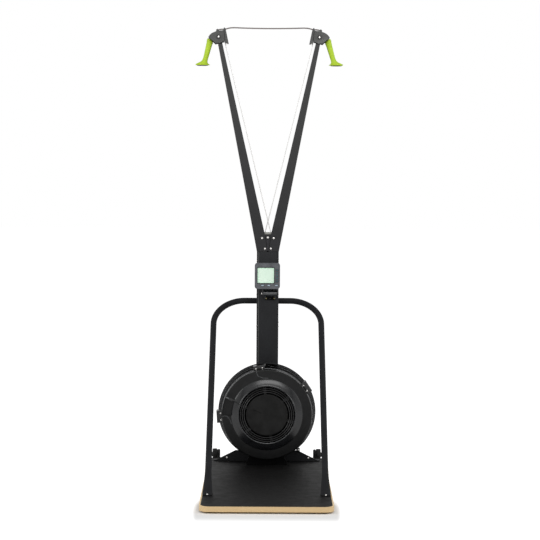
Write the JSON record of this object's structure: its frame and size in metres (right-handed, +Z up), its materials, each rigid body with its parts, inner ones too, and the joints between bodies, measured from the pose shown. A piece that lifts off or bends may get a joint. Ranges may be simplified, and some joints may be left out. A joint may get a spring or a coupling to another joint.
{
  "type": "ski trainer machine",
  "caption": "Free-standing ski training machine: floor platform with a side loop, fan in a round housing, column with a monitor, V arms and pull handles on cords.",
  "frame": {"origin": "on the floor, under the middle of the machine's overall box", "axes": "+X to the right of a person facing the monitor, +Y from the platform's front edge back to the column, +Z up"},
  "size_m": [0.7342, 1.2777, 2.2318],
  "materials": {
    "birch_ply": "clear-coated plywood edge",
    "floor_mat": "matt textured top",
    "black_rubber": "matt moulded rubber",
    "black_steel": "satin black powder coat",
    "grey_steel": "satin charcoal powder coat",
    "bright_steel": "zinc-plated",
    "cord": "braided cord",
    "lime_grip": "moulded lime green grip",
    "grey_plastic": "satin moulded plastic",
    "black_plastic": "matt moulded plastic",
    "screen": "pale display under a clear window",
    "key_rubber": "soft-touch keys"
  },
  "bodies": {
    "frame": {"platform_board": "birch_ply", "platform_mat": "floor_mat", "platform_foot_front_left": "black_rubber", "platform_foot_front_right": "black_rubber", "platform_foot_rear_left": "black_rubber", "platform_foot_rear_right": "black_rubber", "wheel_carrier": "black_steel", "column": "black_steel", "rear_spine": "grey_steel", "gusset_plate": "black_steel", "fan_cradle": "grey_steel", "junction_plate": "grey_steel", "arm_left": "grey_steel", "arm_right": "grey_steel", "head_bracket_left": "grey_steel", "head_bracket_right": "grey_steel", "head_axle_left": "bright_steel", "head_axle_right": "bright_steel", "drive_cord_left": "cord", "drive_cord_right": "cord", "top_cord": "cord", "return_cord": "cord", "side_loop": "black_steel", "loop_clamp": "grey_steel", "fan_front_shell": "grey_plastic", "fan_grille": "black_plastic", "fan_screen": "black_steel", "fan_rear_housing": "black_plastic", "fan_bearing": "bright_steel", "fan_clip_top": "black_plastic", "fan_clip_right": "black_plastic", "fan_clip_left": "black_plastic", "monitor_arm": "grey_steel"},
    "fan_rotor": {"fan_shaft": "bright_steel", "fan_impeller": "black_plastic"},
    "drum_front": {"drive_drum_front": "grey_plastic"},
    "drum_rear": {"drive_drum_rear": "grey_plastic"},
    "guide_front": {"guide_pulley_front": "grey_plastic"},
    "guide_rear": {"guide_pulley_rear": "grey_plastic"},
    "pulley_left": {"head_pulley_left": "grey_plastic"},
    "pulley_right": {"head_pulley_right": "grey_plastic"},
    "handle_left": {"handle_grip_left": "lime_grip", "handle_cord_left": "cord"},
    "handle_right": {"handle_grip_right": "lime_grip", "handle_cord_right": "cord"},
    "return_roller": {"return_pulley": "bright_steel"},
    "damper": {"damper_lever": "black_plastic"},
    "wheel_left": {"wheel_left": "black_rubber"},
    "wheel_right": {"wheel_right": "black_rubber"},
    "monitor": {"monitor_case_front": "grey_plastic", "monitor_case_back": "black_plastic", "monitor_screen": "screen"},
    "key_bottom_1": {"key_bottom_1": "key_rubber"},
    "key_bottom_2": {"key_bottom_2": "key_rubber"},
    "key_bottom_3": {"key_bottom_3": "key_rubber"},
    "key_side_1": {"key_side_1": "key_rubber"},
    "key_side_2": {"key_side_2": "key_rubber"},
    "key_side_3": {"key_side_3": "key_rubber"},
    "key_side_4": {"key_side_4": "key_rubber"},
    "key_side_5": {"key_side_5": "key_rubber"}
  },
  "joints": [
    {"name": "handle_left_pull", "type": "slide", "parent": "frame", "child": "handle_left", "axis": [0, -0.2079, -0.9781], "range_m": [0, 1.15], "stiffness_N_per_m": 10, "springref_m": -0.6},
    {"name": "handle_right_pull", "type": "slide", "parent": "frame", "child": "handle_right", "axis": [0, -0.2079, -0.9781], "range_m": [0, 1.15], "stiffness_N_per_m": 10, "springref_m": -0.6},
    {"name": "pulley_left_turn", "type": "hinge", "parent": "frame", "child": "pulley_left", "pos_m": [-0.2514, 0.41, 2.1798], "axis": [0, 1, 0], "range_deg": [-2693, 0]},
    {"name": "pulley_right_turn", "type": "hinge", "parent": "frame", "child": "pulley_right", "pos_m": [0.2514, 0.41, 2.1798], "axis": [0, 1, 0], "range_deg": [0, 2693]},
    {"name": "guide_front_turn", "type": "hinge", "parent": "frame", "child": "guide_front", "pos_m": [0, 0.397, 1.183], "axis": [0, 1, 0], "range_deg": [-3447, 0]},
    {"name": "guide_rear_turn", "type": "hinge", "parent": "frame", "child": "guide_rear", "pos_m": [0, 0.409, 1.183], "axis": [0, 1, 0], "range_deg": [0, 3447]},
    {"name": "drum_front_turn", "type": "hinge", "parent": "frame", "child": "drum_front", "pos_m": [0, 0.4105, 0.297], "axis": [0, 1, 0], "range_deg": [0, 2918]},
    {"name": "drum_rear_turn", "type": "hinge", "parent": "frame", "child": "drum_rear", "pos_m": [0, 0.4225, 0.297], "axis": [0, 1, 0], "range_deg": [0, 2918]},
    {"name": "fan_spin", "type": "hinge", "parent": "frame", "child": "fan_rotor", "pos_m": [0, 0.361, 0.297], "axis": [0, 1, 0], "continuous": true},
    {"name": "return_roller_turn", "type": "hinge", "parent": "frame", "child": "return_roller", "pos_m": [0, 0.4246, 1.063], "axis": [1, 0, 0], "continuous": true},
    {"name": "damper_turn", "type": "hinge", "parent": "frame", "child": "damper", "pos_m": [0, 0.301, 0.297], "axis": [0, 1, 0], "range_deg": [-15, 45]},
    {"name": "monitor_tilt", "type": "hinge", "parent": "frame", "child": "monitor", "pos_m": [0.013, 0.346, 0.902], "axis": [1, 0, 0], "range_deg": [-8, 50]},
    {"name": "wheel_left_roll", "type": "hinge", "parent": "frame", "child": "wheel_left", "pos_m": [-0.269, 0.609, 0.044], "axis": [1, 0, 0], "continuous": true},
    {"name": "wheel_right_roll", "type": "hinge", "parent": "frame", "child": "wheel_right", "pos_m": [0.269, 0.609, 0.044], "axis": [1, 0, 0], "continuous": true},
    {"name": "key_bottom_1_press", "type": "slide", "parent": "monitor", "child": "key_bottom_1", "axis": [0, 1, 0], "range_m": [0, 0.001], "stiffness_N_per_m": 600},
    {"name": "key_bottom_2_press", "type": "slide", "parent": "monitor", "child": "key_bottom_2", "axis": [0, 1, 0], "range_m": [0, 0.001], "stiffness_N_per_m": 600},
    {"name": "key_bottom_3_press", "type": "slide", "parent": "monitor", "child": "key_bottom_3", "axis": [0, 1, 0], "range_m": [0, 0.001], "stiffness_N_per_m": 600},
    {"name": "key_side_1_press", "type": "slide", "parent": "monitor", "child": "key_side_1", "axis": [0, 1, 0], "range_m": [0, 0.001], "stiffness_N_per_m": 600},
    {"name": "key_side_2_press", "type": "slide", "parent": "monitor", "child": "key_side_2", "axis": [0, 1, 0], "range_m": [0, 0.001], "stiffness_N_per_m": 600},
    {"name": "key_side_3_press", "type": "slide", "parent": "monitor", "child": "key_side_3", "axis": [0, 1, 0], "range_m": [0, 0.001], "stiffness_N_per_m": 600},
    {"name": "key_side_4_press", "type": "slide", "parent": "monitor", "child": "key_side_4", "axis": [0, 1, 0], "range_m": [0, 0.001], "stiffness_N_per_m": 600},
    {"name": "key_side_5_press", "type": "slide", "parent": "monitor", "child": "key_side_5", "axis": [0, 1, 0], "range_m": [0, 0.001], "stiffness_N_per_m": 600}
  ],
  "couplings": [
    {"joint": "pulley_left_turn", "follows": "handle_left_pull", "rad_per_m": -40.65},
    {"joint": "guide_front_turn", "follows": "handle_left_pull", "rad_per_m": -52.083},
    {"joint": "drum_front_turn", "follows": "handle_left_pull", "rad_per_m": 44.053},
    {"joint": "pulley_right_turn", "follows": "handle_right_pull", "rad_per_m": 40.65},
    {"joint": "guide_rear_turn", "follows": "handle_right_pull", "rad_per_m": 52.083},
    {"joint": "drum_rear_turn", "follows": "handle_right_pull", "rad_per_m": 44.053}
  ]
}
